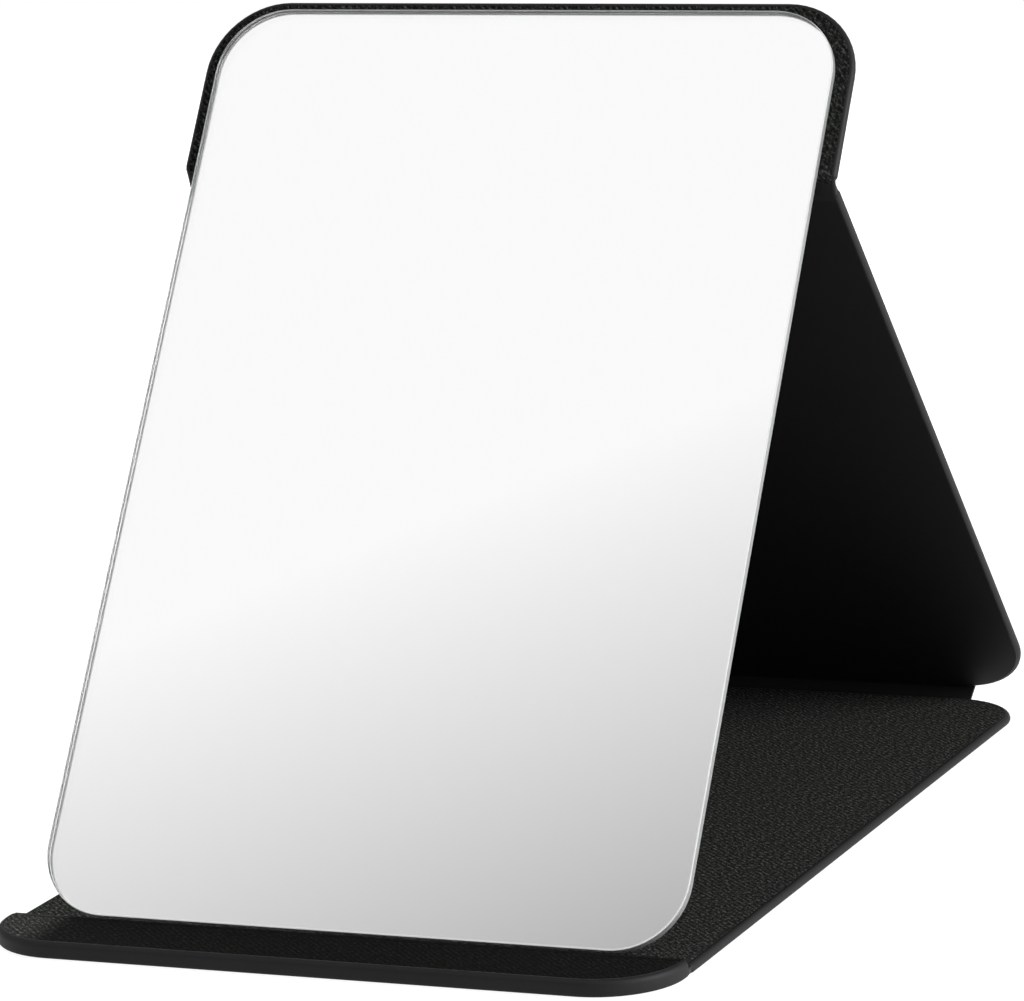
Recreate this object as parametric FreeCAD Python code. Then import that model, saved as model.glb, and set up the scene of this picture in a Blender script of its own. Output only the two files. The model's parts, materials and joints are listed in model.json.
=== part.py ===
import FreeCAD, Part
import math
import os

# Folding travel mirror: a book-like case of wrapped boards, which stands as a triangle behind a frameless
# mirror. Millimetres, +Z up, front towards -Y, X centred. Every piece is drawn with the case lying open and
# flat, outer faces down, and is then folded up about the case's own fold lines into the standing pose.

# Mirror
mirror_width = 150.0
mirror_height = 220.0
mirror_corner_radius = 16.0
glass_thickness = 2.0
glass_arris = 0.25
silver_thickness = 0.1
film_thickness = 0.15
tape_thickness = 0.25
coating_inset = 0.3
tape_strip_height = 8.0
tape_side_margin = 12.0
tape_end_margin = 5.0

# Case panels
panel_width = 157.8
skin_thickness = 0.5
board_thickness = 1.1
lining_thickness = 0.4
edge_wall = 0.9
board_play = 0.1
outer_edge_radius = 0.8
inner_edge_radius = 0.5
panel_corner_radius = 18.0
upper_fold_corner_radius = 1.0
base_depth = 233.8
base_front_corner_radius = 1.5
rear_height = 193.9
top_flap_height = 43.0
mirror_top_margin = 3.2

# Closing flap in front of the base
closing_flap_depth = 20.4
closing_flap_board_thickness = 2.8
closing_flap_back_radius = 1.5
magnet_diameter = 10.0
magnet_thickness = 1.5
magnet_spacing = 90.0
magnet_from_edge = 7.0
keeper_diameter = 12.0
keeper_thickness = 0.6
keeper_from_edge = 7.7
disc_play = 0.1

# Fold lines
fold_bead_radius = 0.5
crease_bead_radius = 0.4
crease_web_height = 0.5
fold_clearance = 0.08
hinge_lining_thickness = 0.2
upper_hinge_depth = 2.4
lower_hinge_end_margin = 15.5
shut_play = 0.9
spine_rest_angle = 33.5
foot_setback = 4.05
foot_gap = 0.15

# Thicknesses that follow
panel_thickness = skin_thickness + board_thickness + lining_thickness
mirror_backing = tape_thickness + film_thickness + silver_thickness
fold_height = fold_bead_radius
fold_gap = fold_bead_radius + fold_clearance
crease_height = panel_thickness - crease_bead_radius / 2
crease_gap = crease_bead_radius + fold_clearance
crease_width = panel_width - 2 * closing_flap_back_radius
lower_hinge_width = panel_width - 2 * lower_hinge_end_margin
upper_hinge_width = panel_width - 2 * upper_fold_corner_radius

# Places along the open case, front to back, from the crease of the closing flap at y = 0
crease_y = 0.0
flap_front_y = crease_y - crease_gap - closing_flap_depth
flap_back_y = crease_y - crease_gap
base_front_y = crease_y + crease_gap
base_rear_y = base_front_y + base_depth
base_fold_y = base_rear_y + fold_gap
spine_width = 2 * (panel_thickness - fold_height) + mirror_backing + glass_thickness + shut_play
rear_fold_y = base_fold_y + spine_width
rear_low_y = rear_fold_y + fold_gap
rear_high_y = rear_low_y + rear_height
mirror_fold_y = rear_high_y + upper_hinge_depth
top_flap_low_y = mirror_fold_y + fold_gap
top_flap_high_y = top_flap_low_y + top_flap_height
mirror_high_y = top_flap_high_y - mirror_top_margin
mirror_low_y = mirror_high_y - mirror_height
film_z = panel_thickness + tape_thickness
silver_z = film_z + film_thickness
glass_z = silver_z + silver_thickness


def vector(x, y, z):
    return FreeCAD.Vector(x, y, z)


def rounded_outline(half_width, y_front, y_back, front_radius, back_radius, z):
    """Wire of a rectangle with one radius for the two front corners and one for the two back corners."""
    turn = math.sqrt(0.5)
    corners = [
        (half_width, y_front, -1, 1, front_radius, False),
        (half_width, y_back, -1, -1, back_radius, True),
        (-half_width, y_back, 1, -1, back_radius, False),
        (-half_width, y_front, 1, 1, front_radius, True),
    ]
    ends = []
    edges = []
    for x, y, inward_x, inward_y, radius, along_y_first in corners:
        centre = vector(x + inward_x * radius, y + inward_y * radius, z)
        on_y_side = vector(x, centre.y, z)
        on_x_side = vector(centre.x, y, z)
        middle = vector(centre.x - inward_x * radius * turn, centre.y - inward_y * radius * turn, z)
        first, last = (on_y_side, on_x_side) if along_y_first else (on_x_side, on_y_side)
        ends.append((first, last))
        edges.append(Part.Arc(first, middle, last).toShape())
    for index, (first, last) in enumerate(ends):
        following = ends[(index + 1) % len(ends)][0]
        edges.append(Part.LineSegment(last, following).toShape())
    return Part.Wire(Part.__sortEdges__(edges))


def plate(width, y_front, y_back, front_radius, back_radius, z_low, z_high):
    wire = rounded_outline(width / 2, y_front, y_back, front_radius, back_radius, z_low)
    return Part.Face(wire).extrude(vector(0, 0, z_high - z_low))


def edges_at(shape, z):
    """The edges of a flat plate that lie wholly at one height."""
    found = []
    for edge in shape.Edges:
        box = edge.BoundBox
        if abs(box.ZMin - z) < 1e-6 and abs(box.ZMax - z) < 1e-6:
            found.append(edge)
    return found


def soft_plate(width, y_front, y_back, front_radius, back_radius, thickness):
    """A plate on z = 0 with its outer and inner edges rounded, as a skin turned round a board is."""
    body = plate(width, y_front, y_back, front_radius, back_radius, 0.0, thickness)
    body = body.makeFillet(outer_edge_radius, edges_at(body, 0.0))
    return body.makeFillet(inner_edge_radius, edges_at(body, thickness))


def inset_plate(width, y_front, y_back, front_radius, back_radius, inset, z_low, z_high):
    return plate(
        width - 2 * inset,
        y_front + inset,
        y_back - inset,
        max(front_radius - inset, inset / 2),
        max(back_radius - inset, inset / 2),
        z_low,
        z_high,
    )


def wrapped_panel(y_front, y_back, front_radius, back_radius, core):
    """Board, outer cover and lining of one panel. The cover is a tray that holds the other two."""
    outline = (panel_width, y_front, y_back, front_radius, back_radius)
    board_top = skin_thickness + core
    top = board_top + lining_thickness
    pocket = inset_plate(*outline, edge_wall, skin_thickness, top)
    cover = soft_plate(*outline, top).cut(pocket)
    board = inset_plate(*outline, edge_wall + board_play, skin_thickness, board_top)
    lining = inset_plate(*outline, edge_wall + board_play, board_top, top)
    return board, cover, lining


def cross_strip(width, y_front, y_back, z_low, z_high):
    return Part.makeBox(width, y_back - y_front, z_high - z_low, vector(-width / 2, y_front, z_low))


def cross_bead(y, z, radius, width):
    return Part.makeCylinder(radius, width, vector(-width / 2, y, z), vector(1, 0, 0))


def disc_pair(y, z, diameter, thickness):
    discs = []
    for side in (-1, 1):
        centre = vector(side * magnet_spacing / 2, y, z)
        discs.append(Part.makeCylinder(diameter / 2, thickness, centre))
    return Part.makeCompound(discs)


def disc_seats(y, z, diameter, thickness):
    """Room for a pair of discs, with play round and above them."""
    return disc_pair(y, z, diameter + 2 * disc_play, thickness + disc_play)


def base_pieces():
    ends = (base_front_y, base_rear_y)
    corners = (base_front_corner_radius, panel_corner_radius)
    board, cover, lining = wrapped_panel(*ends, *corners, board_thickness)
    return {"base_board": board, "base_outer_cover": cover, "base_lining": lining}


def closing_flap_pieces():
    ends = (flap_front_y, flap_back_y)
    corners = (panel_corner_radius, closing_flap_back_radius)
    board, cover, lining = wrapped_panel(*ends, *corners, closing_flap_board_thickness)
    magnet_y = flap_front_y + magnet_from_edge
    magnets = disc_pair(magnet_y, skin_thickness, magnet_diameter, magnet_thickness)
    seats = disc_seats(magnet_y, skin_thickness, magnet_diameter, magnet_thickness)
    bead = cross_bead(crease_y, crease_height, crease_bead_radius, crease_width)
    web_low = crease_height - crease_web_height / 2
    web = cross_strip(crease_width, flap_back_y, crease_y, web_low, web_low + crease_web_height)
    return {
        "closing_flap_board": board.cut(seats),
        "closing_flap_cover": cover,
        "closing_flap_lining": lining,
        "closing_flap_magnets": magnets,
        "closing_flap_crease": bead.fuse(web).removeSplitter(),
    }


def lower_spine_pieces():
    cover = cross_strip(lower_hinge_width, base_fold_y, rear_fold_y, 0.0, skin_thickness)
    for fold_y in (base_fold_y, rear_fold_y):
        cover = cover.fuse(cross_bead(fold_y, fold_height, fold_bead_radius, lower_hinge_width))
    lining_top = skin_thickness + hinge_lining_thickness
    lining_ends = (base_fold_y + fold_gap, rear_fold_y - fold_gap)
    lining = cross_strip(lower_hinge_width, *lining_ends, skin_thickness, lining_top)
    return {"lower_spine_cover": cover.removeSplitter(), "lower_spine_lining": lining}


def rear_panel_pieces():
    ends = (rear_low_y, rear_high_y)
    corners = (panel_corner_radius, upper_fold_corner_radius)
    board, cover, lining = wrapped_panel(*ends, *corners, board_thickness)
    # the strip runs under the rounded end of the panel's cover
    hinge_low_y = rear_high_y - outer_edge_radius
    hinge = cross_strip(upper_hinge_width, hinge_low_y, mirror_fold_y, 0.0, skin_thickness).cut(cover)
    hinge = hinge.fuse(cross_bead(mirror_fold_y, fold_height, fold_bead_radius, upper_hinge_width))
    lining_top = skin_thickness + hinge_lining_thickness
    lining_ends = (rear_high_y, mirror_fold_y - fold_gap)
    hinge_lining = cross_strip(upper_hinge_width, *lining_ends, skin_thickness, lining_top)
    return {
        "rear_board": board,
        "rear_outer_cover": cover,
        "rear_lining": lining,
        "upper_hinge_cover": hinge.removeSplitter(),
        "upper_hinge_lining": hinge_lining,
    }


def mirror_plate(inset, z_low, z_high):
    outline = (mirror_width, mirror_low_y, mirror_high_y, mirror_corner_radius, mirror_corner_radius)
    return inset_plate(*outline, inset, z_low, z_high)


def tape_strips():
    """Two strips of double-sided tape between the top flap's lining and the back of the mirror."""
    width = mirror_width - 2 * tape_side_margin
    low_ends = (top_flap_low_y + tape_end_margin, mirror_high_y - tape_end_margin - tape_strip_height)
    strips = []
    for low_y in low_ends:
        corner = vector(-width / 2, low_y, panel_thickness)
        strips.append(Part.makeBox(width, tape_strip_height, tape_thickness, corner))
    return Part.makeCompound(strips)


def mirror_panel_pieces():
    ends = (top_flap_low_y, top_flap_high_y)
    corners = (upper_fold_corner_radius, panel_corner_radius)
    board, cover, lining = wrapped_panel(*ends, *corners, board_thickness)
    keeper_y = top_flap_high_y - keeper_from_edge
    keepers = disc_pair(keeper_y, skin_thickness, keeper_diameter, keeper_thickness)
    seats = disc_seats(keeper_y, skin_thickness, keeper_diameter, keeper_thickness)
    glass_top = glass_z + glass_thickness
    glass = mirror_plate(0.0, glass_z, glass_top)
    glass = glass.makeChamfer(glass_arris, edges_at(glass, glass_z) + edges_at(glass, glass_top))
    return {
        "top_flap_board": board.cut(seats),
        "top_flap_outer_cover": cover,
        "top_flap_lining": lining,
        "top_flap_keepers": keepers,
        "mounting_tape": tape_strips(),
        "safety_film": mirror_plate(coating_inset, film_z, silver_z),
        "silver_coating": mirror_plate(coating_inset, silver_z, glass_z),
        "mirror_glass": glass,
    }


def standing_angles():
    """Turns at the rear panel's and the mirror's fold lines that stand the glass on the base, in degrees.

    The rear panel and the mirror are two sides of a triangle over the base, with the spine leaning as set.
    """
    lean = math.radians(spine_rest_angle)
    rear_fold = (base_fold_y + spine_width * math.cos(lean), fold_height + spine_width * math.sin(lean))
    foot = (crease_y + foot_setback, panel_thickness + foot_gap)
    rear_side = mirror_fold_y - rear_fold_y
    foot_along = mirror_fold_y - mirror_low_y
    foot_above = glass_z - fold_height
    mirror_side = math.hypot(foot_along, foot_above)
    across = rear_fold[0] - foot[0]
    rise = rear_fold[1] - foot[1]
    span = math.hypot(across, rise)
    at_rear = math.acos((rear_side**2 + span**2 - mirror_side**2) / (2 * rear_side * span))
    at_foot = math.acos((mirror_side**2 + span**2 - rear_side**2) / (2 * mirror_side * span))
    span_slope = math.atan2(rise, across)
    rear_direction = math.pi + span_slope - at_rear
    mirror_direction = span_slope + at_foot + math.atan2(foot_above, foot_along)
    rear_turn = math.degrees(rear_direction) - spine_rest_angle
    mirror_turn = math.degrees(mirror_direction - rear_direction)
    return rear_turn, mirror_turn


rear_turn, mirror_turn = standing_angles()
base_fold = (base_fold_y, fold_height, spine_rest_angle)
rear_fold = (rear_fold_y, fold_height, rear_turn)
mirror_fold = (mirror_fold_y, fold_height, mirror_turn)


def fold_up(shape, folds):
    """Turns a flat shape about its fold lines, the one furthest from the base first."""
    for y, z, degrees in folds:
        shape.rotate(vector(0, y, z), vector(1, 0, 0), degrees)
    return shape


bodies = [
    (base_pieces(), []),
    (closing_flap_pieces(), []),
    (lower_spine_pieces(), [base_fold]),
    (rear_panel_pieces(), [rear_fold, base_fold]),
    (mirror_panel_pieces(), [mirror_fold, rear_fold, base_fold]),
]
pieces = {}
for body_pieces, folds in bodies:
    for name, shape in body_pieces.items():
        pieces[name] = fold_up(shape, folds)

# The origin is under the middle of the standing mirror's box
rear_reach = pieces["rear_outer_cover"].optimalBoundingBox(False, False).YMax
spine_reach = pieces["lower_spine_cover"].optimalBoundingBox(False, False).YMax
to_origin = vector(0, -(flap_front_y + max(rear_reach, spine_reach)) / 2, 0)

os.makedirs("parts", exist_ok=True)
for name, shape in pieces.items():
    shape.translate(to_origin)
    shape.exportStep(f"parts/{name}.step")
    print(f"{name}: {len(shape.Solids)} solid(s), {shape.Volume:.1f} mm3, valid {shape.isValid()}")

for label, line, folds in (
    ("closing flap crease", vector(0, crease_y, crease_height), []),
    ("base fold", vector(0, base_fold_y, fold_height), []),
    ("rear fold", vector(0, rear_fold_y, fold_height), [base_fold]),
    ("mirror fold", vector(0, mirror_fold_y, fold_height), [rear_fold, base_fold]),
):
    place = fold_up(Part.Vertex(line), folds).Point + to_origin
    print(f"{label} at y {place.y:.4f}, z {place.z:.4f}")
print(f"turns from flat: spine {spine_rest_angle:.4f}, rear {rear_turn:.4f}, mirror {mirror_turn:.4f}")
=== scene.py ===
import bpy
import bmesh
import json
import math
from mathutils import Matrix, Vector


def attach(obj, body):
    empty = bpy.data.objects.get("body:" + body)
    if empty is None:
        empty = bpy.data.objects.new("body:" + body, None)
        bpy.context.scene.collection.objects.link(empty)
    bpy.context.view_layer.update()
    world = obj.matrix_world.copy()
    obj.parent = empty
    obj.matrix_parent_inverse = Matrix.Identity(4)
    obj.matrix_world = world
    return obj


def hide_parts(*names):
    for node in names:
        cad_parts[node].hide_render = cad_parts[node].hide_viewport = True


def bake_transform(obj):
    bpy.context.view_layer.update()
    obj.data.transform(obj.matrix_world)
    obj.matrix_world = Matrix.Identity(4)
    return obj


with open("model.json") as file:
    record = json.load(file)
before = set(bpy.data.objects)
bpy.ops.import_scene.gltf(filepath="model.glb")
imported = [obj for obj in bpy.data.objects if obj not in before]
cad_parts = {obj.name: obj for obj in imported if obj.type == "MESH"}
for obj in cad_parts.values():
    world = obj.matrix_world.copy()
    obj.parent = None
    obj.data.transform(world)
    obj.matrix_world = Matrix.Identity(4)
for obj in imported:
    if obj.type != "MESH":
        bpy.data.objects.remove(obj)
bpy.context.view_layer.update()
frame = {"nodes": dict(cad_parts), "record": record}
mm = 0.001
joints = {joint["name"]: joint for joint in frame["record"]["behaviour"]["joints"]}
print("frame loaded:", len(frame["nodes"]), "nodes")


# Where each panel lies: origin on its fold line, local Y along the panel, local Z towards its inner face
def foldPoint(jointName):
    return Vector(joints[jointName]["pos_m"])


def foldTurn(jointName):
    return math.radians(joints[jointName]["range_deg"][1])


spineLean = foldTurn("spine_fold")
rearLean = spineLean + foldTurn("stand_fold")
mirrorLean = rearLean - foldTurn("mirror_fold")
panelPlace = {  # body: (origin, lean about X)
    "base": (Vector((0, 0, 0)), 0.0),
    "closing_flap": (Vector((0, 0, 0)), 0.0),
    "lower_spine": (foldPoint("spine_fold"), spineLean),
    "rear_panel": (foldPoint("stand_fold"), rearLean),
    "mirror_panel": (foldPoint("mirror_fold"), mirrorLean),
}


def placeMatrix(body):
    origin, lean = panelPlace[body]
    return Matrix.Translation(origin) @ Matrix.Rotation(lean, 4, "X")


def localBox(node, body):  # lowest and highest corner of a CAD node in its panel's own axes
    toLocal = placeMatrix(body).inverted()
    points = [toLocal @ vertex.co for vertex in frame["nodes"][node].data.vertices]
    low = Vector([min(p[i] for p in points) for i in range(3)])
    high = Vector([max(p[i] for p in points) for i in range(3)])
    return low, high


# Node helpers
floatSocket, colorSocket, vectorSocket = "NodeSocketFloat", "NodeSocketColor", "NodeSocketVector"
materialSocket, geometrySocket = "NodeSocketMaterial", "NodeSocketGeometry"


def feed(tree, socket, value):  # links another node's socket, or sets a plain value
    if isinstance(value, bpy.types.NodeSocket):
        tree.links.new(value, socket)
    else:
        socket.default_value = value


def addNode(tree, kind, settings=None, values=None):
    node = tree.nodes.new(kind)
    for key, value in (settings or {}).items():
        setattr(node, key, value)
    for key, value in (values or {}).items():
        feed(tree, node.inputs[key], value)
    return node


def mathNode(tree, operation, first, second=0.0, clamp=False):
    settings = {"operation": operation, "use_clamp": clamp}
    return addNode(tree, "ShaderNodeMath", settings, {0: first, 1: second}).outputs[0]


def vectorMath(tree, operation, values):
    return addNode(tree, "ShaderNodeVectorMath", {"operation": operation}, values).outputs


def splitXYZ(tree, vector):
    return addNode(tree, "ShaderNodeSeparateXYZ", values={0: vector}).outputs


def joinXYZ(tree, x=0.0, y=0.0, z=0.0):
    return addNode(tree, "ShaderNodeCombineXYZ", values={0: x, 1: y, 2: z}).outputs[0]


def mapRange(tree, value, fromLow, fromHigh, toLow=0.0, toHigh=1.0):
    values = {0: value, 1: fromLow, 2: fromHigh, 3: toLow, 4: toHigh}
    return addNode(tree, "ShaderNodeMapRange", values=values).outputs[0]


def mixValues(tree, share, first, second):
    return addNode(tree, "ShaderNodeMix", values={0: share, 2: first, 3: second}).outputs[0]


def mixColors(tree, share, first, second):
    return addNode(tree, "ShaderNodeMix", {"data_type": "RGBA"}, {0: share, 6: first, 7: second}).outputs[2]


def noise(tree, place, scale, detail):
    values = {"Vector": place, "Scale": scale, "Detail": detail}
    return addNode(tree, "ShaderNodeTexNoise", values=values).outputs


def newGroup(name, treeType, inputs, outputs):
    tree = bpy.data.node_groups.new(name, treeType)
    for label, socketType in inputs:
        tree.interface.new_socket(name=label, in_out="INPUT", socket_type=socketType)
    for label, socketType in outputs:
        tree.interface.new_socket(name=label, in_out="OUTPUT", socket_type=socketType)
    groupIn = tree.nodes.new("NodeGroupInput")
    groupOut = tree.nodes.new("NodeGroupOutput")
    return tree, groupIn.outputs, groupOut.inputs


# Shader groups shared by several finishes
weave = {  # noise scales are per thread, and gains work on the logarithm of the cloth's tone
    "wanderScale": 0.22,
    "wander": 1.2,  # ribs run this far out of line
    "slub": {"across": 1.22, "along": 0.44, "detail": 2.0, "gain": 7.0},  # threads lie higher in places
    "fleck": {"across": 2.0, "along": 1.2, "detail": 1.0, "gain": 5.0},  # a few catch more light
    "ribGain": 0.45,
    "threadGain": 0.2,
    "level": 0.18,
    "ribHeight": 0.35,
}


def makeTwillGroup():  # diagonal ribs broken into flecks, in the cloth's own flat coordinates
    tree, given, result = newGroup(
        "twillWeave",
        "ShaderNodeTree",
        [("Vector", vectorSocket), ("Pitch", floatSocket), ("Dark", colorSocket), ("Light", colorSocket)],
        [("Color", colorSocket), ("Height", floatSocket)],
    )
    flat = splitXYZ(tree, given["Vector"])
    u = mathNode(tree, "DIVIDE", flat["X"], given["Pitch"])
    v = mathNode(tree, "DIVIDE", flat["Y"], given["Pitch"])
    across = mathNode(tree, "ADD", u, v)
    along = mathNode(tree, "SUBTRACT", u, v)

    def uneven(acrossScale, alongScale, detail):
        x = mathNode(tree, "MULTIPLY", across, acrossScale)
        y = mathNode(tree, "MULTIPLY", along, alongScale)
        return noise(tree, joinXYZ(tree, x, y), 1.0, detail)["Fac"]

    def wave(value, turns):
        return mathNode(tree, "SINE", mathNode(tree, "MULTIPLY", value, turns * 2 * math.pi))

    wander = uneven(weave["wanderScale"], weave["wanderScale"], 1.0)
    wander = mathNode(tree, "MULTIPLY", wander, weave["wander"])
    rib = wave(mathNode(tree, "ADD", across, wander), 0.5)  # two threads to a rib
    thread = wave(u, 1.0)
    slub, fleck = [
        uneven(kind["across"], kind["along"], kind["detail"]) for kind in (weave["slub"], weave["fleck"])
    ]
    slubGain, fleckGain = weave["slub"]["gain"], weave["fleck"]["gain"]
    total = -0.5 * (slubGain + fleckGain)  # the middle of a noise is a half
    terms = [(slub, slubGain), (fleck, fleckGain), (rib, weave["ribGain"]), (thread, weave["threadGain"])]
    for item, gain in terms:
        total = mathNode(tree, "ADD", mathNode(tree, "MULTIPLY", item, gain), total)
    tone = mathNode(tree, "EXPONENT", total)
    level = mathNode(tree, "MULTIPLY", tone, weave["level"], clamp=True)
    tree.links.new(mixColors(tree, level, given["Dark"], given["Light"]), result["Color"])
    height = mathNode(tree, "ADD", mathNode(tree, "MULTIPLY", rib, weave["ribHeight"]), slub)
    tree.links.new(height, result["Height"])
    return tree


grainShape = {
    "bendScale": 700.0,
    "bend": 0.6 * mm,  # how far the creases wander
    "creaseWidth": 0.22,  # in cells
    "fineScale": 4200.0,
    "fine": 0.35,
    "toneScale": 55.0,
}


def makeGrainGroup():  # pebbled skin: rounded cells with fine creases between them
    tree, given, result = newGroup(
        "skinGrain",
        "ShaderNodeTree",
        [("Vector", vectorSocket), ("Cell", floatSocket)],
        [("Height", floatSocket), ("Tone", floatSocket)],
    )
    bend = noise(tree, given["Vector"], grainShape["bendScale"], 2.0)["Color"]
    push = vectorMath(tree, "SCALE", {0: bend, "Scale": grainShape["bend"]})[0]
    cells = addNode(tree, "ShaderNodeTexVoronoi", {"feature": "DISTANCE_TO_EDGE"}, {
        "Vector": vectorMath(tree, "ADD", {0: given["Vector"], 1: push})[0],
        "Scale": mathNode(tree, "DIVIDE", 1.0, given["Cell"]),
    })
    crease = addNode(tree, "ShaderNodeMapRange", {"interpolation_type": "SMOOTHSTEP"}, {
        0: cells.outputs["Distance"],
        2: grainShape["creaseWidth"],
    })
    fine = noise(tree, given["Vector"], grainShape["fineScale"], 3.0)["Fac"]
    fine = mathNode(tree, "MULTIPLY", fine, grainShape["fine"])
    tree.links.new(mathNode(tree, "ADD", crease.outputs[0], fine), result["Height"])
    tree.links.new(noise(tree, given["Vector"], grainShape["toneScale"], 3.0)["Fac"], result["Tone"])
    return tree


rimShape = {"patchScale": 240.0, "patchLow": 0.3, "patchHigh": 0.7, "least": 0.55}


def makeRimGroup():  # where a skin is stretched round an edge it is paler, in patches
    tree, given, result = newGroup(
        "stretchedRim",
        "ShaderNodeTree",
        [("Vector", vectorSocket), ("Rim", floatSocket), ("Amount", floatSocket)]
        + [("Skin", colorSocket), ("Worn", colorSocket)],
        [("Color", colorSocket)],
    )
    patch = noise(tree, given["Vector"], rimShape["patchScale"], 4.0)["Fac"]
    patch = mapRange(tree, patch, rimShape["patchLow"], rimShape["patchHigh"], rimShape["least"], 1.0)
    mask = mathNode(tree, "MULTIPLY", given["Rim"], patch)
    mask = mathNode(tree, "MULTIPLY", mask, given["Amount"], clamp=True)
    tree.links.new(mixColors(tree, mask, given["Skin"], given["Worn"]), result["Color"])
    return tree


twillGroup, grainGroup, rimGroup = makeTwillGroup(), makeGrainGroup(), makeRimGroup()


# Finishes
def placeGroup(tree, group, values):
    return addNode(tree, "ShaderNodeGroup", {"node_tree": group}, values).outputs


def newMaterial(name):
    material = bpy.data.materials.new(name)
    material.use_nodes = True
    return material, material.node_tree, material.node_tree.nodes["Principled BSDF"]


def objectCoords(tree):
    return addNode(tree, "ShaderNodeTexCoord").outputs["Object"]


def flatCoords(tree):  # the piece's own UV map, in metres along the flat panel
    return addNode(tree, "ShaderNodeUVMap", {"uv_map": "UVMap"}).outputs["UV"]


def attribute(tree, name):
    return addNode(tree, "ShaderNodeAttribute", {"attribute_name": name}).outputs["Fac"]


def spread(tree, value, low, high):  # a value from 0 to 1 mapped to a range
    return mapRange(tree, value, 0.0, 1.0, low, high)


def addBump(tree, shader, height, look):
    values = {"Height": height, "Strength": look["bump"], "Distance": look["bumpDepth"]}
    tree.links.new(addNode(tree, "ShaderNodeBump", values=values).outputs["Normal"], shader.inputs["Normal"])


coverLook = {  # the black skin outside
    "skin": (0.0085, 0.0085, 0.009, 1),
    "worn": (0.016, 0.016, 0.0172, 1),
    "wornAmount": 0.7,
    "rimRough": 0.2,
    "rimSmooth": 0.85,  # how much of the grain is stretched out at an edge
    "grainCell": 0.7 * mm,
    "rough": (0.42, 0.52),
    "specular": 0.34,
    "bump": 0.2,
    "bumpDepth": 0.04 * mm,
}
smoothLook = {  # the smooth lining of the rear panel and the spine
    "skin": (0.0098, 0.01, 0.0098, 1),
    "worn": (0.02, 0.02, 0.021, 1),
    "wornAmount": 0.6,
    "rimRough": 0.0,
    "rimSmooth": 0.0,
    "grainCell": 0.45 * mm,
    "rough": (0.62, 0.72),
    "specular": 0.22,
    "bump": 0.18,
    "bumpDepth": 0.03 * mm,
}


def makeSkinMaterial(name, look):
    material, tree, shader = newMaterial(name)
    coords = objectCoords(tree)
    rimMark = attribute(tree, "rim")
    rim = placeGroup(tree, rimGroup, {
        "Vector": coords,
        "Rim": rimMark,
        "Amount": look["wornAmount"],
        "Skin": look["skin"],
        "Worn": look["worn"],
    })
    grain = placeGroup(tree, grainGroup, {"Vector": coords, "Cell": look["grainCell"]})
    tree.links.new(rim["Color"], shader.inputs["Base Color"])
    rough = spread(tree, grain["Tone"], *look["rough"])
    rough = mathNode(tree, "ADD", rough, mathNode(tree, "MULTIPLY", rimMark, look["rimRough"]))
    tree.links.new(rough, shader.inputs["Roughness"])
    kept = mathNode(tree, "SUBTRACT", 1.0, mathNode(tree, "MULTIPLY", rimMark, look["rimSmooth"]))
    addBump(tree, shader, mathNode(tree, "MULTIPLY", grain["Height"], kept), look)
    shader.inputs["Specular IOR Level"].default_value = look["specular"]
    return material


twillLook = {
    "dark": (0.0038, 0.0042, 0.0038, 1),
    "light": (0.13, 0.14, 0.128, 1),
    "freshDark": (0.0098, 0.0102, 0.0094, 1),  # the strip's lining at its left end, painted lighter there as light falling past the mirror's edge
    "freshLight": (0.125, 0.129, 0.119, 1),
    "shadedDark": (0.0055, 0.006, 0.0055, 1),  # and along the rest of the strip, painted darker as the mirror's shadow
    "shadedLight": (0.026, 0.0285, 0.0255, 1),
    # the edge of the painted shadow runs between these places along the strip
    "shadeStart": -69 * mm,
    "shadeEnd": -62 * mm,
    "pitch": 0.866 * mm,
    "roughness": 0.85,
    "specular": 0.02,
    "bump": 0.5,
    "bumpDepth": 0.1 * mm,
}


def shadedTone(tree, tone):  # one of the twill's two colours, from the strip's lit left end to its length in the mirror's painted shadow
    alongX = splitXYZ(tree, objectCoords(tree))["X"]
    shadeShare = mapRange(tree, alongX, twillLook["shadeStart"], twillLook["shadeEnd"])
    return mixColors(tree, shadeShare, twillLook["fresh" + tone], twillLook["shaded" + tone])


def makeTwillMaterial(name, shaded=False):
    material, tree, shader = newMaterial(name)
    cloth = placeGroup(tree, twillGroup, {
        "Vector": flatCoords(tree),
        "Pitch": twillLook["pitch"],
        "Dark": shadedTone(tree, "Dark") if shaded else twillLook["dark"],
        "Light": shadedTone(tree, "Light") if shaded else twillLook["light"],
    })
    tree.links.new(cloth["Color"], shader.inputs["Base Color"])
    shader.inputs["Roughness"].default_value = twillLook["roughness"]
    shader.inputs["Specular IOR Level"].default_value = twillLook["specular"]
    addBump(tree, shader, cloth["Height"], twillLook)
    return material


mirrorLook = {
    "glass": (0.994, 0.995, 0.9945, 1),
    "ior": 1.52,
    "silver": (0.965, 0.968, 0.965, 1),
    "hazeScale": 30.0,
    "haze": (0.004, 0.012),
}


def makeGlassMaterial():  # polished clear plate
    material, tree, shader = newMaterial("clearGlass")
    shader.inputs["Base Color"].default_value = mirrorLook["glass"]
    shader.inputs["Transmission Weight"].default_value = 1.0
    shader.inputs["IOR"].default_value = mirrorLook["ior"]
    shader.inputs["Roughness"].default_value = 0.0
    return material


def makeSilverMaterial():
    material, tree, shader = newMaterial("silverBack")
    haze = noise(tree, objectCoords(tree), mirrorLook["hazeScale"], 3.0)["Fac"]
    shader.inputs["Base Color"].default_value = mirrorLook["silver"]
    shader.inputs["Metallic"].default_value = 1.0
    tree.links.new(spread(tree, haze, *mirrorLook["haze"]), shader.inputs["Roughness"])
    return material


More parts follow.
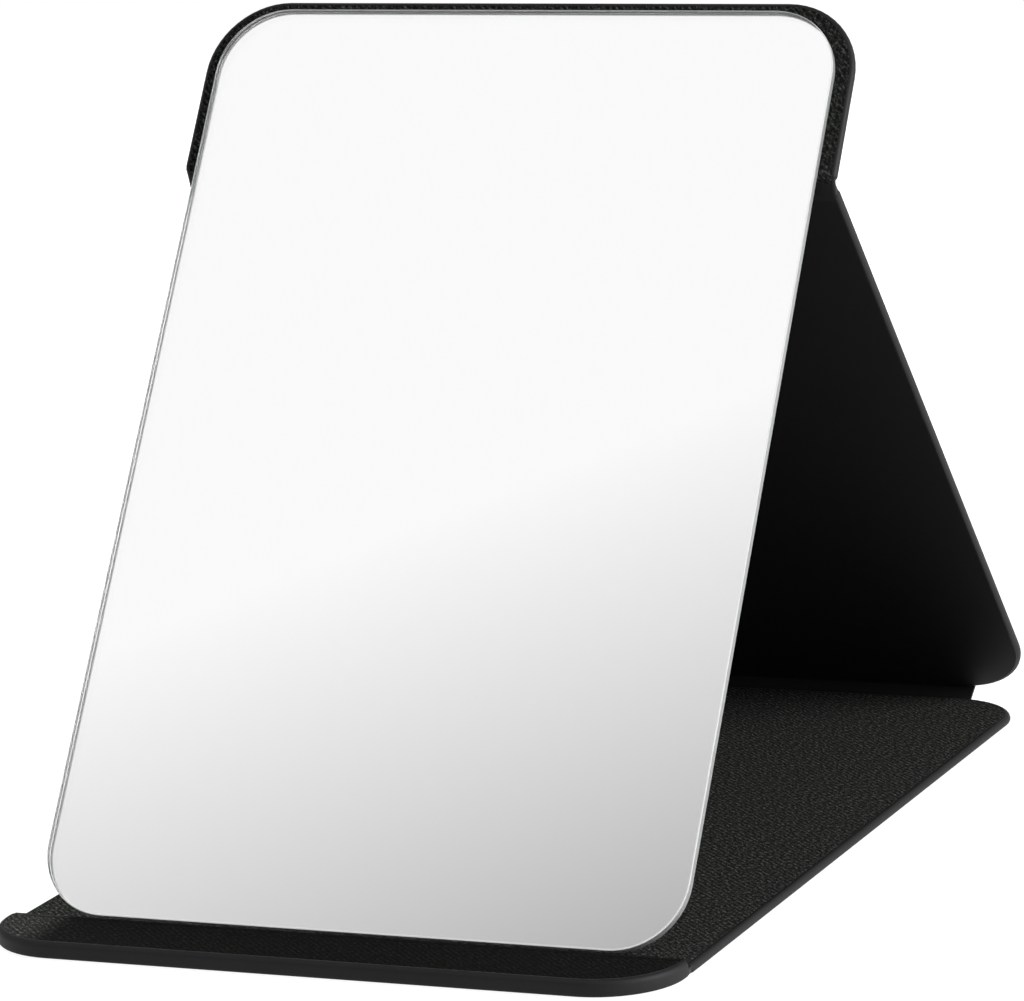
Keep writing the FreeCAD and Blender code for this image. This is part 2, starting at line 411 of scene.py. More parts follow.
plainLooks = {  # the ground glass edge, and pieces that show from behind or taken apart
    "groundEdge": {
        "dark": (0.86, 0.89, 0.88, 1), "light": (0.95, 0.97, 0.96, 1), "scale": 2400.0, "detail": 3.0,
        "rough": (0.28, 0.42), "bump": 0.12, "bumpDepth": 0.01 * mm, "transmission": 0.7,
    },
    "greyboard": {
        "dark": (0.16, 0.15, 0.135, 1), "light": (0.36, 0.34, 0.31, 1), "scale": 1500.0, "detail": 5.0,
        "rough": (0.8, 0.95), "bump": 0.4, "bumpDepth": 0.05 * mm,
    },
    "safetyFilm": {
        "dark": (0.13, 0.135, 0.14, 1), "light": (0.19, 0.195, 0.2, 1), "scale": 420.0, "detail": 3.0,
        "rough": (0.38, 0.5), "bump": 0.15, "bumpDepth": 0.02 * mm,
    },
    "foamTape": {
        "dark": (0.6, 0.6, 0.57, 1), "light": (0.82, 0.82, 0.8, 1), "scale": 2200.0, "detail": 3.0,
        "rough": (0.6, 0.8), "bump": 0.4, "bumpDepth": 0.03 * mm,
    },
    "nickelMagnet": {
        "dark": (0.5, 0.49, 0.46, 1), "light": (0.68, 0.67, 0.64, 1), "scale": 900.0, "detail": 4.0,
        "rough": (0.14, 0.3), "bump": 0.1, "bumpDepth": 0.01 * mm, "metallic": 1.0,
    },
    "keeperSteel": {
        "dark": (0.36, 0.36, 0.37, 1), "light": (0.55, 0.55, 0.56, 1), "scale": 1300.0, "detail": 4.0,
        "rough": (0.3, 0.45), "bump": 0.15, "bumpDepth": 0.01 * mm, "metallic": 1.0,
    },
}
speckleContrast = (-0.6, 1.6)  # stretches the noise, whose values lie near the middle


def makeSpeckledMaterial(name, look):  # colour varies between two tones in a noise
    material, tree, shader = newMaterial(name)
    speckle = noise(tree, objectCoords(tree), look["scale"], look["detail"])["Fac"]
    share = spread(tree, speckle, *speckleContrast)
    tree.links.new(mixColors(tree, share, look["dark"], look["light"]), shader.inputs["Base Color"])
    tree.links.new(spread(tree, speckle, *look["rough"]), shader.inputs["Roughness"])
    shader.inputs["Metallic"].default_value = look.get("metallic", 0.0)
    shader.inputs["Transmission Weight"].default_value = look.get("transmission", 0.0)
    addBump(tree, shader, speckle, look)
    return material


coverSkin = makeSkinMaterial("coverSkin", coverLook)
smoothLining = makeSkinMaterial("smoothLining", smoothLook)
twillLining = makeTwillMaterial("twillLining")
# the strip's twill, with painted light at its left end and a painted shadow of the mirror along the rest
shadedTwill = makeTwillMaterial("shadedTwill", shaded=True)
clearGlass = makeGlassMaterial()
silverBack = makeSilverMaterial()
plainMaterials = {name: makeSpeckledMaterial(name, look) for name, look in plainLooks.items()}
print("finishes made: skins, twills, glass, silver and", len(plainMaterials), "plain ones")

# Panels: an edge section is swept round a rounded outline, then both flat faces are filled
treeShape = {
    "outlineSteps": 14,
    "sectionSteps": 6,
    "sewDistance": 0.002 * mm,
    "weldDistance": 0.001 * mm,
    "groundFrom": 0.42,  # the glass is ground where its rim mark is higher
}


def sized(given, item):  # a section's number, or the input socket that it names
    return given[item] if isinstance(item, str) else item


def position(tree):
    return addNode(tree, "GeometryNodeInputPosition").outputs[0]


def rounded(tree, curve, steps, radius):
    return addNode(tree, "GeometryNodeFilletCurve", {"mode": "POLY"}, {
        "Curve": curve,
        "Count": steps,
        "Radius": radius,
        "Limit Radius": True,
    }).outputs[0]


def placeShape(tree, shape, shift, turn=None):
    values = {"Geometry": shape, "Translation": shift}
    if turn:
        values["Rotation"] = turn
    return addNode(tree, "GeometryNodeTransform", values=values).outputs[0]


def storeAttribute(tree, shape, name, value, kind, domain):
    return addNode(tree, "GeometryNodeStoreNamedAttribute", {"data_type": kind, "domain": domain}, {
        "Geometry": shape,
        "Name": name,
        "Value": value,
    }).outputs[0]


def panelOutline(tree, given):  # centred on the origin
    isBack = mathNode(tree, "GREATER_THAN", splitXYZ(tree, position(tree))["Y"], 0.0)
    radius = mixValues(tree, isBack, given["Front Radius"], given["Back Radius"])
    sides = {0: given["Width"], 1: given["Depth"]}
    sheet = addNode(tree, "GeometryNodeCurvePrimitiveQuadrilateral", values=sides).outputs[0]
    outline = rounded(tree, sheet, treeShape["outlineSteps"], radius)
    return addNode(tree, "GeometryNodeSetCurveNormal", {"mode": "Z_UP"}, {"Curve": outline}).outputs[0]


def edgeSection(tree, given, section):  # X is the inset from the outline, Y the height
    corner = addNode(tree, "GeometryNodeInputIndex").outputs[0]
    spots = addNode(tree, "GeometryNodeIndexSwitch", {"data_type": "VECTOR"}, {"Index": corner})
    rounds = addNode(tree, "GeometryNodeIndexSwitch", {"data_type": "FLOAT"}, {"Index": corner})
    for switch in (spots, rounds):
        for extra in range(len(section) - 2):
            switch.index_switch_items.new()
    for index, (inset, height, bend) in enumerate(section, start=1):
        feed(tree, spots.inputs[index], joinXYZ(tree, sized(given, inset), sized(given, height)))
        feed(tree, rounds.inputs[index], sized(given, bend))
    line = addNode(tree, "GeometryNodeMeshLine", values={"Count": len(section)}).outputs[0]
    turned = vectorMath(tree, "SCALE", {0: spots.outputs[0], "Scale": -1.0})[0]  # for the sweep
    bent = addNode(tree, "GeometryNodeSetPosition", values={"Geometry": line, "Position": turned}).outputs[0]
    edge = addNode(tree, "GeometryNodeMeshToCurve", values={"Mesh": bent}).outputs[0]
    profile = rounded(tree, edge, treeShape["sectionSteps"], rounds.outputs[0])
    inset = mathNode(tree, "ABSOLUTE", splitXYZ(tree, position(tree))["X"])
    nearEdge = mapRange(tree, inset, 0.0, given["Face Margin"], 1.0, 0.0)
    return storeAttribute(tree, profile, "rim", nearEdge, "FLOAT", "POINT")


def closeFaces(tree, wall, endHeight):  # fills the open loop at height 0 and the one at the section's end
    faceCount = addNode(tree, "GeometryNodeInputMeshEdgeNeighbors").outputs[0]
    sameCount = {"data_type": "INT", "operation": "EQUAL"}
    isOpen = addNode(tree, "FunctionNodeCompare", sameCount, {2: faceCount, 3: 1}).outputs[0]
    middle = mathNode(tree, "MULTIPLY", endHeight, 0.5)
    isHigh = mathNode(tree, "GREATER_THAN", splitXYZ(tree, position(tree))["Z"], middle)
    isLow = mathNode(tree, "SUBTRACT", 1.0, isHigh)
    bothHold = {"operation": "AND"}
    faces = [wall]
    for side, height in ((isLow, 0.0), (isHigh, endHeight)):
        chosen = addNode(tree, "FunctionNodeBooleanMath", bothHold, {0: isOpen, 1: side}).outputs[0]
        loop = addNode(tree, "GeometryNodeMeshToCurve", values={"Mesh": wall, "Selection": chosen}).outputs[0]
        fill = addNode(tree, "GeometryNodeFillCurve", {"mode": "NGONS"}, {"Curve": loop}).outputs[0]
        faces.append(placeShape(tree, fill, joinXYZ(tree, z=height)))
    joined = addNode(tree, "GeometryNodeJoinGeometry")
    for face in reversed(faces):
        tree.links.new(face, joined.inputs[0])
    sewing = {"Geometry": joined.outputs[0], "Distance": treeShape["sewDistance"]}
    sewn = addNode(tree, "GeometryNodeMergeByDistance", values=sewing).outputs[0]
    return addNode(tree, "GeometryNodeSetShadeSmooth", values={"Geometry": sewn}).outputs[0]


def setFinish(tree, shape, finish, **where):
    values = {"Geometry": shape, "Material": finish, **where}
    return addNode(tree, "GeometryNodeSetMaterial", values=values).outputs[0]


def makePanelTree(name, sizes, section, groundEdge=False):
    # section: one (inset, height, round) of input names or plain numbers for each corner of the edge
    inputs = [(size, floatSocket) for size in ("Width", "Depth", "Front Radius", "Back Radius") + sizes]
    inputs += [("Centre", vectorSocket), ("Lean", floatSocket), ("Place", vectorSocket)]
    inputs += [("Finish", materialSocket)]
    if groundEdge:
        inputs += [("Edge Finish", materialSocket)]
    tree, given, result = newGroup(name, "GeometryNodeTree", inputs, [("Geometry", geometrySocket)])
    wall = addNode(tree, "GeometryNodeCurveToMesh", values={
        "Curve": panelOutline(tree, given),
        "Profile Curve": edgeSection(tree, given, section),
    }).outputs[0]
    shell = closeFaces(tree, wall, sized(given, section[-1][1]))
    centred = placeShape(tree, shell, given["Centre"])
    flat = storeAttribute(tree, centred, "UVMap", position(tree), "FLOAT2", "CORNER")  # for the weave
    placed = placeShape(tree, flat, given["Place"], joinXYZ(tree, x=given["Lean"]))
    real = addNode(tree, "GeometryNodeRealizeInstances", values={"Geometry": placed}).outputs[0]
    finished = setFinish(tree, real, given["Finish"])
    if groundEdge:
        rimMark = addNode(tree, "GeometryNodeInputNamedAttribute", {"data_type": "FLOAT"}, {"Name": "rim"})
        isGround = mathNode(tree, "GREATER_THAN", rimMark.outputs["Attribute"], treeShape["groundFrom"])
        finished = setFinish(tree, finished, given["Edge Finish"], Selection=isGround)
    tree.links.new(finished, result["Geometry"])
    return tree


trayTree = makePanelTree(
    "wrappedTray",
    ("Height", "Floor", "Rim", "Turn In", "Lip", "Outer Round", "Inner Round", "Lip Round", "Face Margin"),
    [
        ("Face Margin", 0.0, 0.0),
        (0.0, 0.0, "Outer Round"),
        (0.0, "Height", "Inner Round"),
        ("Turn In", "Height", "Lip Round"),
        ("Turn In", "Lip", 0.0),
        ("Rim", "Lip", 0.0),
        ("Rim", "Floor", 0.0),
    ],
)
plateSizes = ("Height", "Low Round", "High Round", "Face Margin")
plateSection = [
    ("Face Margin", 0.0, 0.0),
    (0.0, 0.0, "Low Round"),
    (0.0, "Height", "High Round"),
    ("Face Margin", "Height", 0.0),
]
sheetTree = makePanelTree("liningSheet", plateSizes, plateSection)
glassTree = makePanelTree("groundPlate", plateSizes, plateSection, groundEdge=True)
sharpAngle = math.radians(40)


def bakePanel(name, tree, values):
    holder = bpy.data.objects.new(name, bpy.data.meshes.new(name))
    bpy.context.collection.objects.link(holder)
    modifier = holder.modifiers.new("panel", "NODES")
    modifier.node_group = tree
    for item in tree.interface.items_tree:
        if item.in_out == "INPUT":
            modifier[item.identifier] = values[item.name]
    graph = bpy.context.evaluated_depsgraph_get()
    made = holder.evaluated_get(graph)
    mesh = bpy.data.meshes.new_from_object(made, preserve_all_data_layers=True, depsgraph=graph)
    holder.modifiers.clear()
    holder.data = mesh
    mesh.name = name
    shell = bmesh.new()
    shell.from_mesh(mesh)
    bmesh.ops.remove_doubles(shell, verts=shell.verts, dist=treeShape["weldDistance"])
    bmesh.ops.recalc_face_normals(shell, faces=shell.faces)
    shell.to_mesh(mesh)
    shell.free()
    mesh.set_sharp_from_angle(angle=sharpAngle)
    return holder


def panelValues(node, body, frontRadius, backRadius, finish, **sizes):
    low, high = localBox(node, body)
    origin, lean = panelPlace[body]
    values = {
        "Width": high.x - low.x,
        "Depth": high.y - low.y,
        "Front Radius": frontRadius,
        "Back Radius": backRadius,
        "Height": high.z - low.z,
        "Centre": ((low.x + high.x) / 2, (low.y + high.y) / 2, low.z),
        "Lean": lean,
        "Place": origin,
        "Finish": finish,
    }
    values.update(sizes)
    return values


def finishPiece(piece, body, node):
    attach(piece, body)
    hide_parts(node)


panelShape = {  # edge of every wrapped panel
    "skin": 0.5 * mm,
    "rim": 0.95 * mm,
    "lip": 0.38 * mm,
    "outerRound": 0.62 * mm,
    "lipRound": 0.05 * mm,
    "faceMargin": 0.85 * mm,  # less than the smallest corner radius
    "liningGap": 0.01 * mm,
    "cadInset": 1.0 * mm,  # of the lining's solid, from the panel's side
    "liningDrop": 0.02 * mm,
    "liningRound": 0.06 * mm,
    "liningMargin": 0.35 * mm,
    "leastRadius": 0.5 * mm,
}
outerCorner, creaseCorner, foldCorner = 18.0 * mm, 1.45 * mm, 1.0 * mm
wideTurn, slimTurn = 1.4 * mm, 0.98 * mm  # how far a skin is turned over its board's edge
panels = [
    {
        "body": "base", "cover": "base_outer_cover", "lining": "base_lining",
        "front": creaseCorner, "back": outerCorner, "turnIn": wideTurn,
        "finish": twillLining, "slot": "lining_twill",
    },
    {
        "body": "closing_flap", "cover": "closing_flap_cover", "lining": "closing_flap_lining",
        "front": outerCorner, "back": creaseCorner, "turnIn": wideTurn,
        # painted light and shade on this strip's twill
        "finish": shadedTwill, "slot": "lining_twill",
    },
    {
        "body": "rear_panel", "cover": "rear_outer_cover", "lining": "rear_lining",
        "front": outerCorner, "back": foldCorner, "turnIn": slimTurn,
        "finish": smoothLining, "slot": "lining_smooth",
    },
    {
        "body": "mirror_panel", "cover": "top_flap_outer_cover", "lining": "top_flap_lining",
        "front": foldCorner, "back": outerCorner, "turnIn": slimTurn,
        "finish": twillLining, "slot": "lining_twill",
    },
]


def buildCover(panel):  # skin wrapped round the board and turned in over its edge
    values = panelValues(panel["cover"], panel["body"], panel["front"], panel["back"], coverSkin, **{
        "Floor": panelShape["skin"],
        "Rim": panelShape["rim"],
        "Turn In": panel["turnIn"],
        "Outer Round": panelShape["outerRound"],
        "Inner Round": panel["turnIn"] - panelShape["lipRound"],
        "Lip Round": panelShape["lipRound"],
        "Face Margin": panelShape["faceMargin"],
    })
    values["Lip"] = values["Height"] - panelShape["lip"]
    cover = bakePanel(panel["cover"] + "_skin", trayTree, values)
    finishPiece(cover, panel["body"], panel["cover"])


def buildLining(panel):  # fills the space between the turned-in edges
    inset = panel["turnIn"] + panelShape["liningGap"]
    front, back = [max(panel[end] - inset, panelShape["leastRadius"]) for end in ("front", "back")]
    values = panelValues(panel["lining"], panel["body"], front, back, panel["finish"], **{
        "Low Round": 0.0,
        "High Round": panelShape["liningRound"],
        "Face Margin": panelShape["liningMargin"],
    })
    values["Height"] -= panelShape["liningDrop"]
    for side in ("Width", "Depth"):
        values[side] -= 2 * (inset - panelShape["cadInset"])
    lining = bakePanel(panel["lining"] + "_sheet", sheetTree, values)
    finishPiece(lining, panel["body"], panel["lining"])


for panel in panels:
    buildCover(panel)
    buildLining(panel)
print("panels wrapped:", len(panels))

glassShape = {"cornerRadius": 16.0 * mm, "arris": 0.3 * mm, "faceMargin": 0.5 * mm, "offSilver": 0.01 * mm}


def buildGlass():
    corner = glassShape["cornerRadius"]
    values = panelValues("mirror_glass", "mirror_panel", corner, corner, clearGlass, **{
        "Low Round": glassShape["arris"],
        "High Round": glassShape["arris"],
        "Face Margin": glassShape["faceMargin"],
        "Edge Finish": plainMaterials["groundEdge"],
    })
    x, y, z = values["Centre"]
    values["Centre"] = (x, y, z + glassShape["offSilver"])
    values["Height"] -= glassShape["offSilver"]
    plate = bakePanel("mirror_glass_plate", glassTree, values)
    finishPiece(plate, "mirror_panel", "mirror_glass")


buildGlass()
print("glass made")

# Folds: bars and thin strips that follow a section path round the fold line and run across the case
pathSteps = {"corner": 8, "gap": 0.5 * mm}  # steps round a corner, and the longest step of a straight run
easeAngles = (0, 30, 60, 90)  # steps of a bar's rounded end edges


def panelPoint(body, y, z):  # point in a panel's own axes, given back in the frame's YZ plane
    return placeMatrix(body) @ Vector((0, y, z))


def bentPath(points, radius):  # rounds every inner corner of a path and adds points on its straight runs
    steps = pathSteps["corner"]
    bent = [points[0]]
    for before, at, after in zip(points, points[1:], points[2:]):
        inDir, outDir = (at - before).normalized(), (after - at).normalized()
        turn = math.atan2(inDir.y * outDir.z - inDir.z * outDir.y, inDir.dot(outDir))
        first = at - inDir * radius * math.tan(abs(turn) / 2)
        centre = first + math.copysign(radius, turn) * Vector((0, -inDir.z, inDir.y))
        for step in range(steps + 1):
            bent.append(centre + Matrix.Rotation(turn * step / steps, 3, "X") @ (first - centre))
    bent.append(points[-1])
    path = [bent[0]]
    for start, end in zip(bent, bent[1:]):
        count = max(1, math.ceil((end - start).length / pathSteps["gap"]))
        path += [start.lerp(end, step / count) for step in range(1, count + 1)]
    return path


def besidePath(path, distance):  # the path moved to its left
    moved = []
    for index, point in enumerate(path):
        run = path[min(index + 1, len(path) - 1)] - path[max(index - 1, 0)]
        moved.append(point + Vector((0, -run.z, run.y)).normalized() * distance)
    return moved


def foldBar(name, low, high, halfWidth, ease, finish):  # closed bar between two paths, end edges rounded
    section = low + high[::-1]
    count = len(section)
    area = sum(a.y * b.z - b.y * a.z for a, b in zip(section, section[1:] + section[:1]))
    outward, run = [], [0.0]
    for index, point in enumerate(section):
        tangent = section[(index + 1) % count] - section[index - 1]
        outward.append(math.copysign(1.0, area) * Vector((0, tangent.z, -tangent.y)).normalized())
        run.append(run[-1] + (section[(index + 1) % count] - point).length)
    bend = [ease * (1 - math.cos(math.radians(angle))) for angle in easeAngles]
    columns = [(offset - halfWidth, inset) for offset, inset in zip(bend, bend[::-1])]
    columns += [(-x, inset) for x, inset in columns[::-1]]
    bar = bmesh.new()
    uvLayer = bar.loops.layers.uv.new("UVMap")
    rings = []
    for x, inset in columns:
        ring = [bar.verts.new(p - n * inset + Vector((x, 0, 0))) for p, n in zip(section, outward)]
        rings.append(ring)
    for (x0, _), (x1, _), first, second in zip(columns, columns[1:], rings, rings[1:]):
        for index in range(count):
            follow = (index + 1) % count
            face = bar.faces.new((first[index], first[follow], second[follow], second[index]))
            flat = ((x0, -run[index]), (x0, -run[index + 1]), (x1, -run[index + 1]), (x1, -run[index]))
            for loop, uv in zip(face.loops, flat):
                loop[uvLayer].uv = uv
    bar.faces.new(rings[0])
    bar.faces.new(rings[-1])
    for face in bar.faces:
        face.smooth = True
    bmesh.ops.recalc_face_normals(bar, faces=bar.faces)
    mesh = bpy.data.meshes.new(name)
    bar.to_mesh(mesh)
    bar.free()
    mesh.set_sharp_from_angle(angle=sharpAngle)
    mesh.materials.append(finish)
    piece = bpy.data.objects.new(name, mesh)
    bpy.context.collection.objects.link(piece)
    return piece


def crossing(bodyA, bodyB):  # where the outer faces of two panels would meet
    a0, a1 = [panelPoint(bodyA, y, outerFace[bodyA]) for y in (0, mm)]
    b0, b1 = [panelPoint(bodyB, y, outerFace[bodyB]) for y in (0, mm)]
    da, db = a1 - a0, b1 - b0
    share = ((b0.y - a0.y) * db.z - (b0.z - a0.z) * db.y) / (da.y * db.z - da.z * db.y)
    return a0 + da * share


def finishFold(piece, node):
    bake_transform(piece)
    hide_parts(node)


baseLow, baseHigh = localBox("base_outer_cover", "base")
stripLow, stripHigh = localBox("closing_flap_cover", "closing_flap")
rearLow, rearHigh = localBox("rear_outer_cover", "rear_panel")
flapLow, flapHigh = localBox("top_flap_outer_cover", "mirror_panel")
spineLow, spineHigh = localBox("lower_spine_cover", "lower_spine")
outerFace = {"base": baseLow.z, "lower_spine": spineLow.z, "rear_panel": rearLow.z, "mirror_panel": flapLow.z}
lowerFold = {
    "radius": 1.0 * mm,
    "zone": 1.2,  # the bend reaches this many radii to each side of the fold
    "skin": 0.5 * mm,
    "skinEase": 0.1 * mm,
    "lining": 0.2 * mm,
    "liningEase": 0.05 * mm,
    "lap": 0.8 * mm,  # how far the skin reaches over a panel's rounded end
}


def buildLowerFolds():  # the spine's skin and lining in two halves, one for each of its folds
    spineLength = (foldPoint("stand_fold") - foldPoint("spine_fold")).length
    spineMiddle = panelPoint("lower_spine", spineLength / 2, outerFace["lower_spine"])
    baseEnd = panelPoint("base", baseHigh.y - lowerFold["lap"], outerFace["base"])
    rearEnd = panelPoint("rear_panel", rearLow.y + lowerFold["lap"], outerFace["rear_panel"])
    folds = [
        ("base_fold", ("base", "lower_spine"), baseEnd, spineMiddle),
        ("rear_fold", ("lower_spine", "rear_panel"), spineMiddle, rearEnd),
    ]
    for name, bodies, first, last in folds:
        corner = crossing(*bodies)
        path = bentPath([first, corner, last], lowerFold["radius"])
        middle = besidePath(path, lowerFold["skin"])
        cover = foldBar(name + "_skin", path, middle, spineHigh.x, lowerFold["skinEase"], coverSkin)
        finishFold(cover, "lower_spine_cover")
        inner = besidePath(path, lowerFold["skin"] + lowerFold["lining"])
        lining = foldBar(name + "_lining", middle, inner, spineHigh.x, lowerFold["liningEase"], smoothLining)
        finishFold(lining, "lower_spine_lining")


upperFold = {
    "radius": 0.7 * mm,
    "lap": 0.8 * mm,
    "zoneStart": 0.9 * mm,  # the bend lies between these distances before the fold line
    "zoneEnd": 0.4 * mm,
    "inset": 0.4 * mm,  # the skin ends this far inside the panels' sides
    "coreRadius": 0.25 * mm,
    "coreDrop": 0.1 * mm,
    "coreLap": 0.3 * mm,
    "coreEase": 0.3 * mm,
    "lining": 0.12 * mm,
    "liningInset": 0.96 * mm,
    "liningLap": 2.0 * mm,
    "liningLift": 0.03 * mm,
    "liningRadius": 0.8 * mm,
    "liningEase": 0.05 * mm,
}


def frontPath(lap, lift, radius):  # over the front of the upper fold
    return bentPath([
        panelPoint("rear_panel", rearHigh.y - lap, rearHigh.z + lift),
        panelPoint("rear_panel", rearHigh.y, rearHigh.z + lift),
        panelPoint("mirror_panel", flapLow.y, flapHigh.z + lift),
        panelPoint("mirror_panel", flapLow.y + lap, flapHigh.z + lift),
    ], radius)


def buildUpperFold():  # skin in the valley behind, thick as far as the linings stretched over the front
    bodies = ("rear_panel", "mirror_panel")
    valley = bentPath([
        panelPoint("rear_panel", rearHigh.y - upperFold["lap"], outerFace["rear_panel"]),
        crossing(*bodies),
        panelPoint("mirror_panel", flapLow.y + upperFold["lap"], outerFace["mirror_panel"]),
    ], upperFold["radius"])
    front = frontPath(upperFold["coreLap"], -upperFold["coreDrop"], upperFold["coreRadius"])
    halfWidth = rearHigh.x - upperFold["inset"]
    core = foldBar("upper_fold_skin", valley, front, halfWidth, upperFold["coreEase"], coverSkin)
    finishFold(core, "upper_hinge_cover")

    # the linings meet on the fold line
    path = frontPath(upperFold["liningLap"], upperFold["liningLift"], upperFold["liningRadius"])
    nearest = min(range(len(path)), key=lambda index: (path[index] - foldPoint("mirror_fold")).length)
    halves = [
        ("upper_fold_smooth", path[:nearest + 1], smoothLining, "lining_smooth"),
        ("upper_fold_twill", path[nearest:], twillLining, "lining_twill"),
    ]
    halfWidth = rearHigh.x - upperFold["liningInset"]
    for name, part, finish, slot in halves:
        under = besidePath(part, -upperFold["lining"])
        strip = foldBar(name, under, part, halfWidth, upperFold["liningEase"], finish)
        finishFold(strip, "upper_hinge_lining")


creaseFold = {
    "lap": 0.5 * mm,
    "low": 0.15 * mm,
    "high": 1.75 * mm,
    "inset": 0.25 * mm,
    "ease": 0.3 * mm,
    "step": 0.08 * mm,  # the twill stands this far off the strip's back edge
    "lining": 0.12 * mm,
    "liningInset": 1.4 * mm,
    "liningLap": 2.0 * mm,
    "liningLift": 0.03 * mm,
    "liningRadius": 0.8 * mm,
    "liningEase": 0.05 * mm,
}


def buildCrease():  # fills the seam between the strip and the base
    first, last = stripHigh.y - creaseFold["lap"], baseLow.y + creaseFold["lap"]
    low, high = [
        bentPath([Vector((0, last, creaseFold[level])), Vector((0, first, creaseFold[level]))], 0.0)
        for level in ("low", "high")
    ]
    halfWidth = baseHigh.x - creaseFold["inset"]
    bar = foldBar("crease_fold", low, high, halfWidth, creaseFold["ease"], coverSkin)
    finishFold(bar, "closing_flap_crease")

    # the twill runs on from the base up over the strip's back edge
    lap, step = creaseFold["liningLap"], stripHigh.y + creaseFold["step"]
    baseTop, stripTop = baseHigh.z + creaseFold["liningLift"], stripHigh.z + creaseFold["liningLift"]
    path = bentPath([
        Vector((0, baseLow.y + lap, baseTop)),
        Vector((0, step, baseTop)),
        Vector((0, step, stripTop)),
        Vector((0, stripHigh.y - lap, stripTop)),
    ], creaseFold["liningRadius"])
    under = besidePath(path, creaseFold["lining"])
    halfWidth = baseHigh.x - creaseFold["liningInset"]
    # the crease's twill carries the strip's painted light and painted shadow
    cloth = foldBar("crease_twill", under, path, halfWidth, creaseFold["liningEase"], shadedTwill)
    finishFold(cloth, "closing_flap_crease")


buildLowerFolds()
buildUpperFold()
buildCrease()
print("folds made: base, rear, upper and crease")


# Pieces that keep their CAD shape get their finish
def dressNode(node, material):
    mesh = frame["nodes"][node].data
    mesh.materials.clear()
    mesh.materials.append(material)


cadFinish = {
    "silver_coating": silverBack,
    "safety_film": plainMaterials["safetyFilm"],
    "mounting_tape": plainMaterials["foamTape"],
    "closing_flap_magnets": plainMaterials["nickelMagnet"],
    "top_flap_keepers": plainMaterials["keeperSteel"],
    "base_board": plainMaterials["greyboard"],
    "closing_flap_board": plainMaterials["greyboard"],
    "rear_board": plainMaterials["greyboard"],
    "top_flap_board": plainMaterials["greyboard"],
}
for node, material in cadFinish.items():
    dressNode(node, material)
print("CAD pieces dressed:", len(cadFinish))

# Floor, light and background
floorLook = {"size": 9.0, "drop": 0.15 * mm, "glow": 0.93, "paint": (0.3, 0.3, 0.3, 1), "roughness": 0.9}


def backdropMask(tree):  # 1 where the eye sees the background, and where the mirror or the glass shows it
    path = addNode(tree, "ShaderNodeLightPath").outputs
    shown = mathNode(tree, "MAXIMUM", path["Is Glossy Ray"], path["Is Transmission Ray"])
    scattered = mathNode(tree, "GREATER_THAN", path["Diffuse Depth"], 0.5)
    shown = mathNode(tree, "MULTIPLY", shown, mathNode(tree, "SUBTRACT", 1.0, scattered))
    return path["Is Camera Ray"], shown


def makeFloor():
    half = floorLook["size"] / 2
    mesh = bpy.data.meshes.new("floor")
    corners = [(-half, -half), (half, -half), (half, half), (-half, half)]
    mesh.from_pydata([(x, y, -floorLook["drop"]) for x, y in corners], [], [(0, 1, 2, 3)])
    floor = bpy.data.objects.new("floor", mesh)
    bpy.context.collection.objects.link(floor)
    material, tree, shader = newMaterial("paleFloor")
    shader.inputs["Base Color"].default_value = floorLook["paint"]
    shader.inputs["Roughness"].default_value = floorLook["roughness"]
    shader.inputs["Specular IOR Level"].default_value = 0.0
    seen = mathNode(tree, "MAXIMUM", *backdropMask(tree))
    shader.inputs["Emission Color"].default_value = (1, 1, 1, 1)
    tree.links.new(mathNode(tree, "MULTIPLY", seen, floorLook["glow"]), shader.inputs["Emission Strength"])
    mesh.materials.append(material)


studio = {
    "fillLow": 0.42,  # light on the object from near the horizon
    "fillHigh": 0.16,  # and from overhead
    "fillStart": 0.1,
    "fillEnd": 0.65,
    "dimWay": (0.3713, -0.8491, -0.3757),  # reflections are darker this way, towards the viewer
    "dimStart": 0.0035,
    "dimEnd": 0.1305,
    "dimLevel": 0.2,
    "overLevel": 0.8,  # high over the viewer, where the mirror's left edge shows it
    "overStart": 0.17,
    "overEnd": 0.25,
    "overLow": 0.5,
    "overHigh": 0.65,
    "backLevel": 0.28,  # behind the object, where its edges show it
    "backStart": -0.2,
    "backEnd": 0.1,
}


def makeWorld():  # white to the eye, with its own levels for reflections and for light on the object
    world = bpy.data.worlds.new("studio")
    world.use_nodes = True
    bpy.context.scene.world = world
    tree = world.node_tree
    background = tree.nodes["Background"]
    direct, mirrored = backdropMask(tree)
    way = addNode(tree, "ShaderNodeTexCoord").outputs["Generated"]
    heading = splitXYZ(tree, way)
    facing = vectorMath(tree, "DOT_PRODUCT", {0: way, 1: studio["dimWay"]})["Value"]
    level = mapRange(tree, facing, studio["dimStart"], studio["dimEnd"], 1.0, studio["dimLevel"])
    ahead = mapRange(tree, facing, studio["overStart"], studio["overEnd"])
    high = mapRange(tree, heading["Z"], studio["overLow"], studio["overHigh"])
    level = mixValues(tree, mathNode(tree, "MULTIPLY", ahead, high), level, studio["overLevel"])
    behind = mapRange(tree, heading["Y"], studio["backStart"], studio["backEnd"], 1.0, studio["backLevel"])
    level = mathNode(tree, "MULTIPLY", level, behind)
    fill = mapRange(
        tree, heading["Z"], studio["fillStart"], studio["fillEnd"], studio["fillLow"], studio["fillHigh"]
    )
    shown = mixValues(tree, mirrored, fill, level)
    tree.links.new(mixValues(tree, direct, shown, 1.0), background.inputs["Strength"])
    background.inputs["Color"].default_value = (1, 1, 1, 1)


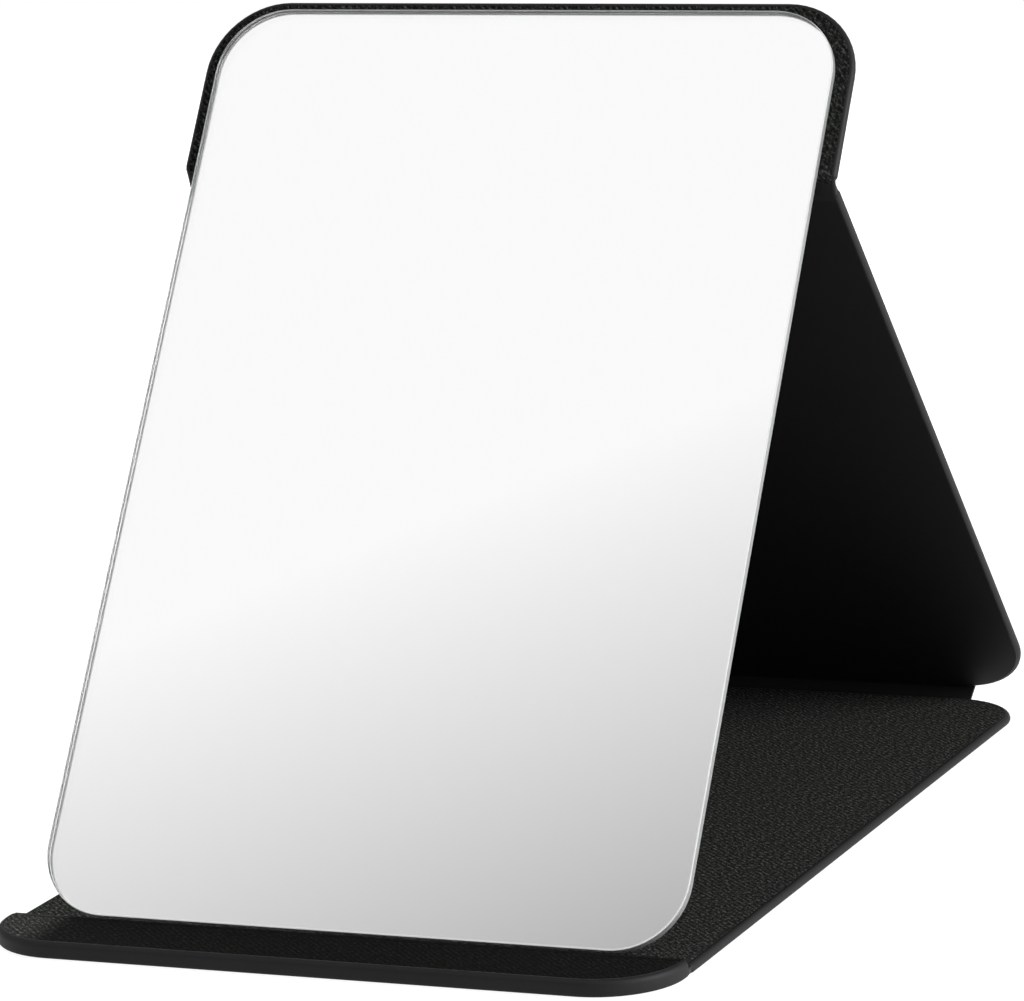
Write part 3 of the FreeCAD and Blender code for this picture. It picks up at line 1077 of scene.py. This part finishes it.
lamps = [  # name, place, size, power, whether reflections show it
    ("rightSoftbox", (0.95, 0.0, 0.45), 0.6, 11.0, True),
    ("backSoftbox", (-0.62, 0.8, 0.72), 0.8, 20.0, False),
]
lampAim = Vector((0, 0, 0.05))


def makeLamp(name, place, size, power, gleams):
    data = bpy.data.lights.new(name, "AREA")
    data.shape = "SQUARE"
    data.size = size
    data.energy = power
    lamp = bpy.data.objects.new(name, data)
    bpy.context.collection.objects.link(lamp)
    lamp.location = place
    lamp.rotation_euler = (lampAim - Vector(place)).to_track_quat("-Z", "Y").to_euler()
    lamp.visible_glossy = gleams
    lamp.visible_transmission = gleams  # the mirror's reflections come out through its glass


makeFloor()
makeWorld()
for lamp in lamps:
    makeLamp(*lamp)
bpy.context.scene.view_settings.view_transform = "Standard"
print("studio lit")

view = {  # the photograph's viewpoint
    "target": Vector((42.6, -107.58, 98.8)) * mm,
    "distance": 1.1935,
    "yaw": math.radians(22.90),
    "pitch": math.radians(11.602),
    "roll": math.radians(2.699),
    "focalPixels": 5775.0,
    "imageWidth": 1024,
    "sensor": 36.0,
}


def makeCamera():
    data = bpy.data.cameras.new("photoCamera")
    camera = bpy.data.objects.new("photoCamera", data)
    bpy.context.collection.objects.link(camera)
    data.sensor_fit = "HORIZONTAL"
    data.sensor_width = view["sensor"]
    data.lens = view["focalPixels"] * view["sensor"] / view["imageWidth"]
    yaw, pitch = view["yaw"], view["pitch"]
    ahead = Vector((-math.sin(yaw) * math.cos(pitch), math.cos(yaw) * math.cos(pitch), -math.sin(pitch)))
    right = Vector((math.cos(yaw), math.sin(yaw), 0))
    down = ahead.cross(right)
    rolledRight = math.cos(view["roll"]) * right + math.sin(view["roll"]) * down
    rolledUp = math.sin(view["roll"]) * right - math.cos(view["roll"]) * down
    turn = Matrix((rolledRight, rolledUp, -ahead)).transposed().to_4x4()
    camera.matrix_world = Matrix.Translation(view["target"] - ahead * view["distance"]) @ turn
    bpy.context.scene.camera = camera


makeCamera()
print("camera set")
